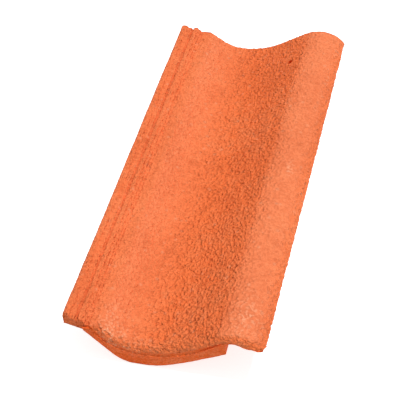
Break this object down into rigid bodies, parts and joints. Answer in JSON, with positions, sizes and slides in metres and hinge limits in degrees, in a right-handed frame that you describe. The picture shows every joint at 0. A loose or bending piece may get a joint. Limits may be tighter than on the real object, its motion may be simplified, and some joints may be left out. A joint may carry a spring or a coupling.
{
  "type": "half roof tile",
  "caption": "Interlocking concrete half roof tile with a ribbed underlap, a pan, a roll, a rounded nose with a weather bar under it, hanging nibs and a nail hole.",
  "frame": {"origin": "centre of the bounding box's base, the level plane that the nibs and the weather bar stand on", "axes": "+X across the tile from the underlap to the roll, +Y up the tile from the nose to the head, +Z out of the weather face"},
  "size_m": [0.18, 0.42, 0.0592],
  "materials": {
    "concrete": "coloured concrete with a fine granular face"
  },
  "bodies": {
    "root": {"half_tile": "concrete"}
  },
  "joints": []
}
